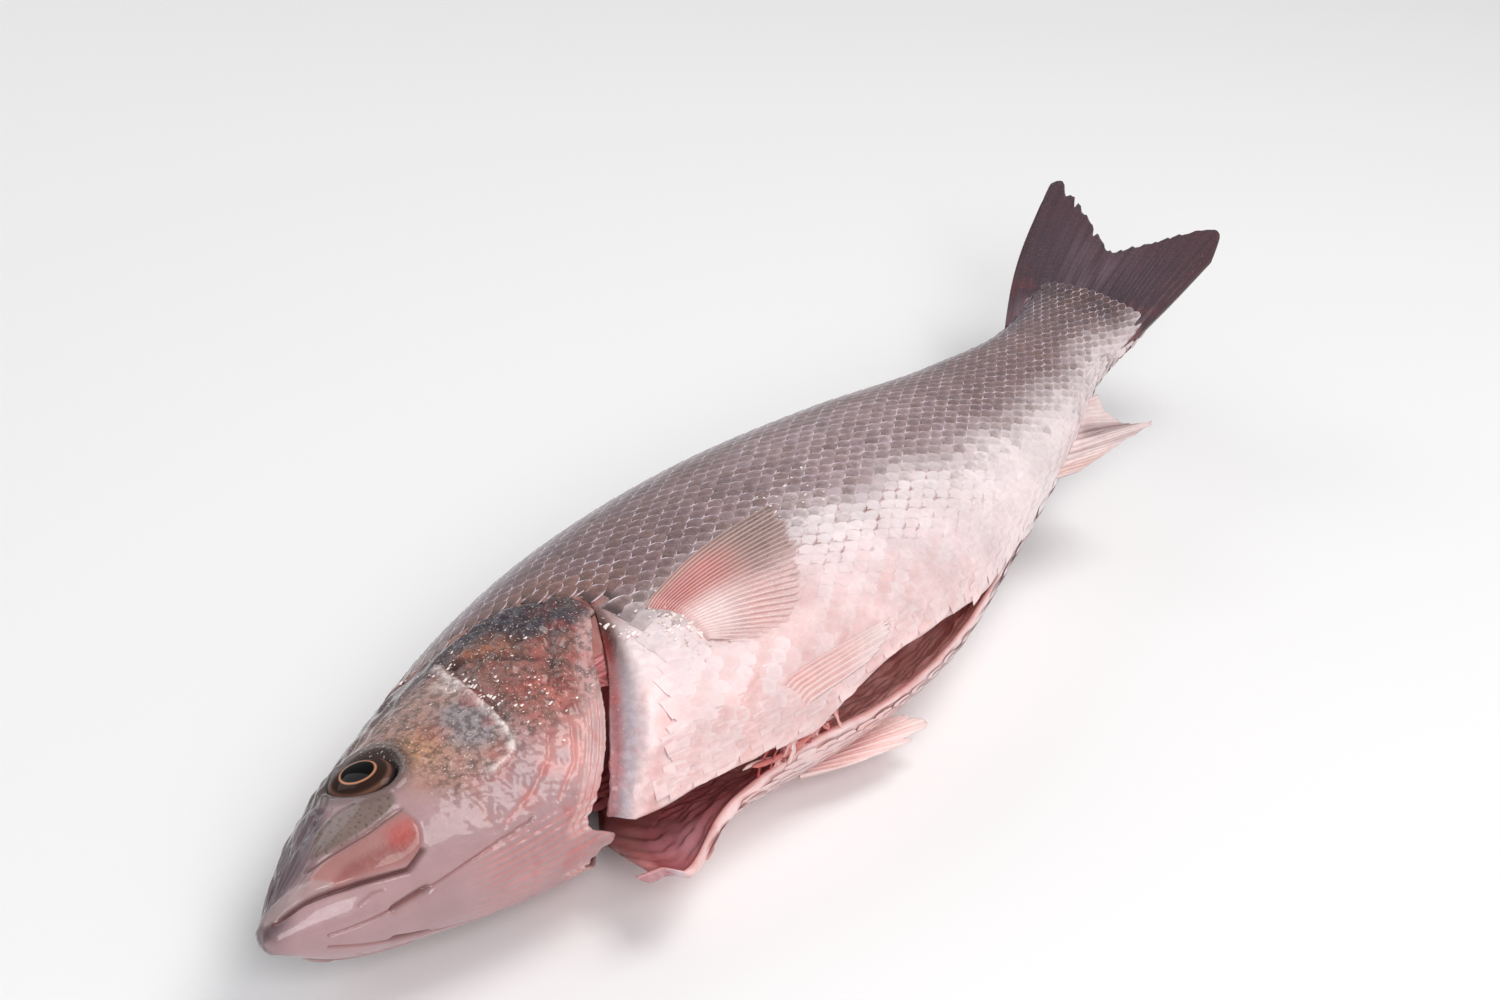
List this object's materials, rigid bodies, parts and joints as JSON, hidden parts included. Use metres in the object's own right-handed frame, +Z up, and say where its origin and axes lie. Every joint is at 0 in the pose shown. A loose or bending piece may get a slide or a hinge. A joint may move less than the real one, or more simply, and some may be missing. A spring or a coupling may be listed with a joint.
{
  "type": "whole raw fish",
  "caption": "Whole raw sea fish with silvery scales, gutted through a slit along its belly, lying on its right side with a forked tail raised a little.",
  "frame": {"origin": "centre of the bounding box's base, on the table that the fish lies on", "axes": "+Z up out of the left flank, +X along the fish from the snout to the tail, +Y towards the back, so the belly faces -Y"},
  "size_m": [0.421, 0.1104, 0.0596],
  "materials": {
    "skin": "wet, scaled and glossy: dark grey-brown on the back and head, white to pink on the belly",
    "fin": "thin wet membrane between pale rays, dark purple-grey on the tail and pink on the paired fins",
    "flesh": "wet, pink-red to dark red inside the belly and the gill chamber",
    "eye": "clear wet cornea over a black pupil and a dark copper ring"
  },
  "bodies": {
    "root": {"fish": "skin"}
  },
  "joints": []
}
